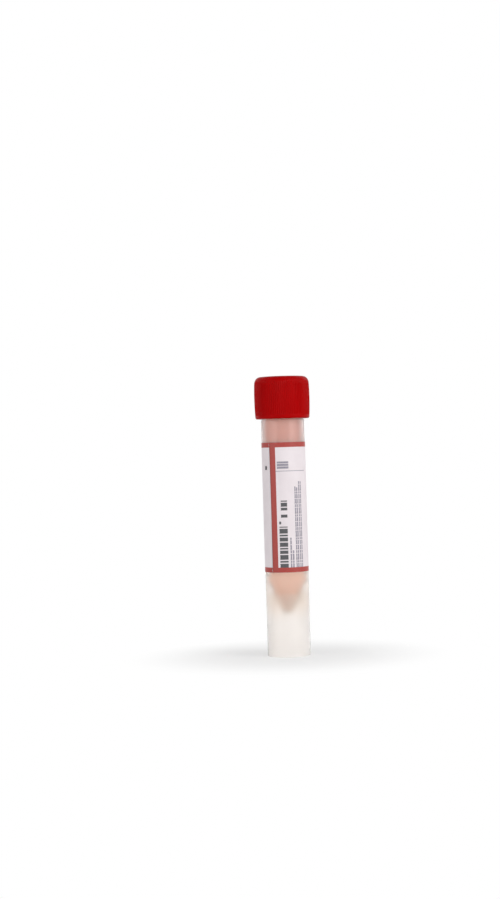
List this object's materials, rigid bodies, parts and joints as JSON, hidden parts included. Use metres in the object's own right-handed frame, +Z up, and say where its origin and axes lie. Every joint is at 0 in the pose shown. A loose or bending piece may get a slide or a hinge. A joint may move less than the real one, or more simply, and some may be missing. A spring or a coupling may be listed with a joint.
{
  "type": "specimen swab tube",
  "caption": "Self-standing skirted transport tube with a conical bottom, a red ribbed screw cap, a wrapped paper label with a red border, and liquid medium with loose glass beads inside.",
  "frame": {"origin": "centre of the skirt's foot, on the tube's axis, at the height of the surface it stands on", "axes": "+Z up the tube's axis towards the cap; -Y out of the printed panel of the label, with the label's seam to its -X side"},
  "size_m": [0.0198, 0.0198, 0.1],
  "materials": {
    "tube_plastic": "translucent natural polypropylene, smooth and slightly milky",
    "cap_plastic": "red moulded polyethylene, satin",
    "label_paper": "white coated label paper, semi-matt",
    "label_ink": "brick red print",
    "medium": "clear orange-pink liquid",
    "bead_glass": "clear polished glass"
  },
  "bodies": {
    "tube_body": {"tube": "tube_plastic", "label": "label_paper", "label_border": "label_ink", "transport_medium": "medium", "glass_bead_1": "bead_glass", "glass_bead_2": "bead_glass", "glass_bead_3": "bead_glass"},
    "cap": {"screw_cap": "cap_plastic"}
  },
  "joints": [
    {"name": "cap_lift", "type": "slide", "parent": "tube_body", "child": "cap", "axis": [0, 0, 1], "range_m": [0, 0.04]}
  ]
}
